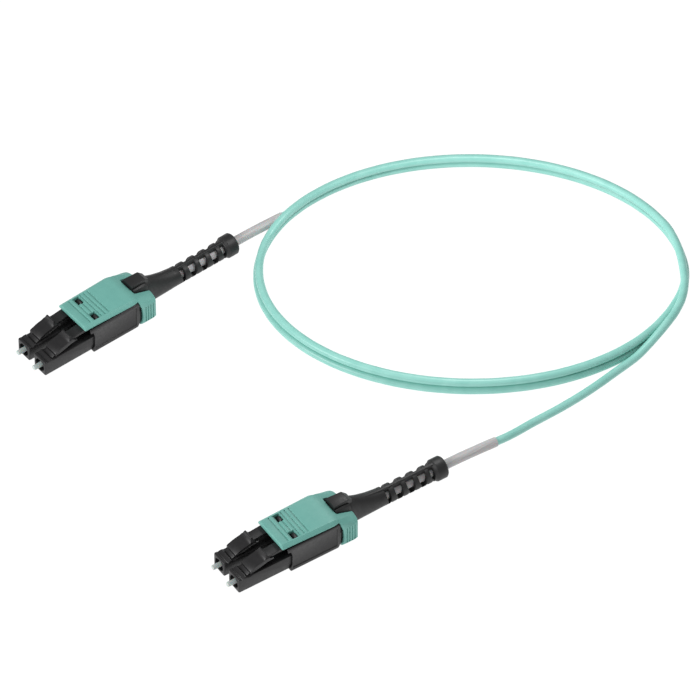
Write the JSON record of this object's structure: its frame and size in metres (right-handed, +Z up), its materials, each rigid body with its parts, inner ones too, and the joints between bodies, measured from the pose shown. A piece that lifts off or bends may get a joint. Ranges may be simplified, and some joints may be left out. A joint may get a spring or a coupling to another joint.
{
  "type": "fiber optic patch cord",
  "caption": "Aqua optical patch cord: a looped round cord with a duplex push-pull LC plug on each end, each with ferrules, latches, sliding cover and ribbed boot.",
  "frame": {"origin": "centre of the two connectors' footprint, on the surface they rest on; the cord and its sleeves are left out of that box", "axes": "+X along connector A from its ferrule tips towards its boot, +Y from connector B towards connector A, +Z up from the housings' undersides"},
  "size_m": [0.1571, 0.0976, 0.0094],
  "materials": {
    "aqua_plastic": "satin moulded aqua plastic",
    "black_plastic": "satin moulded black plastic",
    "black_boot": "matt flexible black elastomer",
    "aqua_jacket": "smooth satin aqua cord jacket",
    "sleeve_white": "translucent off-white tubing",
    "buffer_white": "smooth fibre buffer",
    "zirconia": "polished zirconia ceramic",
    "nickel_steel": "bright nickel plate",
    "spring_steel": "drawn spring wire",
    "brass": "turned brass",
    "crimp_metal": "crimped steel ring"
  },
  "bodies": {
    "patch_cord": {"a_plug_body_left": "black_plastic", "a_plug_body_right": "black_plastic", "a_ferrule_spring_left": "spring_steel", "a_ferrule_spring_right": "spring_steel", "a_spring_push_left": "black_plastic", "a_spring_push_right": "black_plastic", "a_buffer_tube_left": "buffer_white", "a_buffer_tube_right": "buffer_white", "a_housing_base": "black_plastic", "a_housing_lid": "black_plastic", "a_crimp_body": "brass", "a_crimp_ring": "crimp_metal", "a_cable_sleeve": "sleeve_white", "b_plug_body_left": "black_plastic", "b_plug_body_right": "black_plastic", "b_ferrule_spring_left": "spring_steel", "b_ferrule_spring_right": "spring_steel", "b_spring_push_left": "black_plastic", "b_spring_push_right": "black_plastic", "b_buffer_tube_left": "buffer_white", "b_buffer_tube_right": "buffer_white", "b_housing_base": "black_plastic", "b_housing_lid": "black_plastic", "b_crimp_body": "brass", "b_crimp_ring": "crimp_metal", "b_cable_sleeve": "sleeve_white", "cord_loop": "aqua_jacket", "cord_lead_a": "aqua_jacket", "cord_lead_b": "aqua_jacket"},
    "a_slider": {"a_slide_cover": "aqua_plastic", "a_boot": "black_boot"},
    "a_latch_left": {"a_latch_left": "black_plastic"},
    "a_ferrule_left": {"a_ferrule_left": "zirconia", "a_ferrule_flange_left": "nickel_steel"},
    "a_latch_right": {"a_latch_right": "black_plastic"},
    "a_ferrule_right": {"a_ferrule_right": "zirconia", "a_ferrule_flange_right": "nickel_steel"},
    "b_slider": {"b_slide_cover": "aqua_plastic", "b_boot": "black_boot"},
    "b_latch_left": {"b_latch_left": "black_plastic"},
    "b_ferrule_left": {"b_ferrule_left": "zirconia", "b_ferrule_flange_left": "nickel_steel"},
    "b_latch_right": {"b_latch_right": "black_plastic"},
    "b_ferrule_right": {"b_ferrule_right": "zirconia", "b_ferrule_flange_right": "nickel_steel"}
  },
  "joints": [
    {"name": "a_slider_pull", "type": "slide", "parent": "patch_cord", "child": "a_slider", "axis": [1, 0, 0], "range_m": [0, 0.0025], "stiffness_N_per_m": 400},
    {"name": "a_latch_left_press", "type": "hinge", "parent": "patch_cord", "child": "a_latch_left", "pos_m": [-0.02237, 0.04578, 0.0051], "axis": [0, 1, 0], "range_deg": [0, 7.1]},
    {"name": "a_ferrule_left_retract", "type": "slide", "parent": "patch_cord", "child": "a_ferrule_left", "axis": [1, 0, 0], "range_m": [0, 0.001], "stiffness_N_per_m": 1000, "deforming": ["a_ferrule_spring_left"]},
    {"name": "a_latch_right_press", "type": "hinge", "parent": "patch_cord", "child": "a_latch_right", "pos_m": [-0.02237, 0.03954, 0.0051], "axis": [0, 1, 0], "range_deg": [0, 7.1]},
    {"name": "a_ferrule_right_retract", "type": "slide", "parent": "patch_cord", "child": "a_ferrule_right", "axis": [1, 0, 0], "range_m": [0, 0.001], "stiffness_N_per_m": 1000, "deforming": ["a_ferrule_spring_right"]},
    {"name": "b_slider_pull", "type": "slide", "parent": "patch_cord", "child": "b_slider", "axis": [0.9965, -0.084, 0], "range_m": [0, 0.0025], "stiffness_N_per_m": 400},
    {"name": "b_latch_left_press", "type": "hinge", "parent": "patch_cord", "child": "b_latch_left", "pos_m": [-0.02829, -0.03716, 0.0051], "axis": [0.084, 0.9965, 0], "range_deg": [0, 7.1]},
    {"name": "b_ferrule_left_retract", "type": "slide", "parent": "patch_cord", "child": "b_ferrule_left", "axis": [0.9965, -0.084, 0], "range_m": [0, 0.001], "stiffness_N_per_m": 1000, "deforming": ["b_ferrule_spring_left"]},
    {"name": "b_latch_right_press", "type": "hinge", "parent": "patch_cord", "child": "b_latch_right", "pos_m": [-0.02881, -0.04339, 0.0051], "axis": [0.084, 0.9965, 0], "range_deg": [0, 7.1]},
    {"name": "b_ferrule_right_retract", "type": "slide", "parent": "patch_cord", "child": "b_ferrule_right", "axis": [0.9965, -0.084, 0], "range_m": [0, 0.001], "stiffness_N_per_m": 1000, "deforming": ["b_ferrule_spring_right"]}
  ],
  "couplings": [
    {"joint": "a_latch_left_press", "follows": "a_slider_pull", "rad_per_m": 48.869},
    {"joint": "a_latch_right_press", "follows": "a_slider_pull", "rad_per_m": 48.869},
    {"joint": "b_latch_left_press", "follows": "b_slider_pull", "rad_per_m": 48.869},
    {"joint": "b_latch_right_press", "follows": "b_slider_pull", "rad_per_m": 48.869}
  ]
}
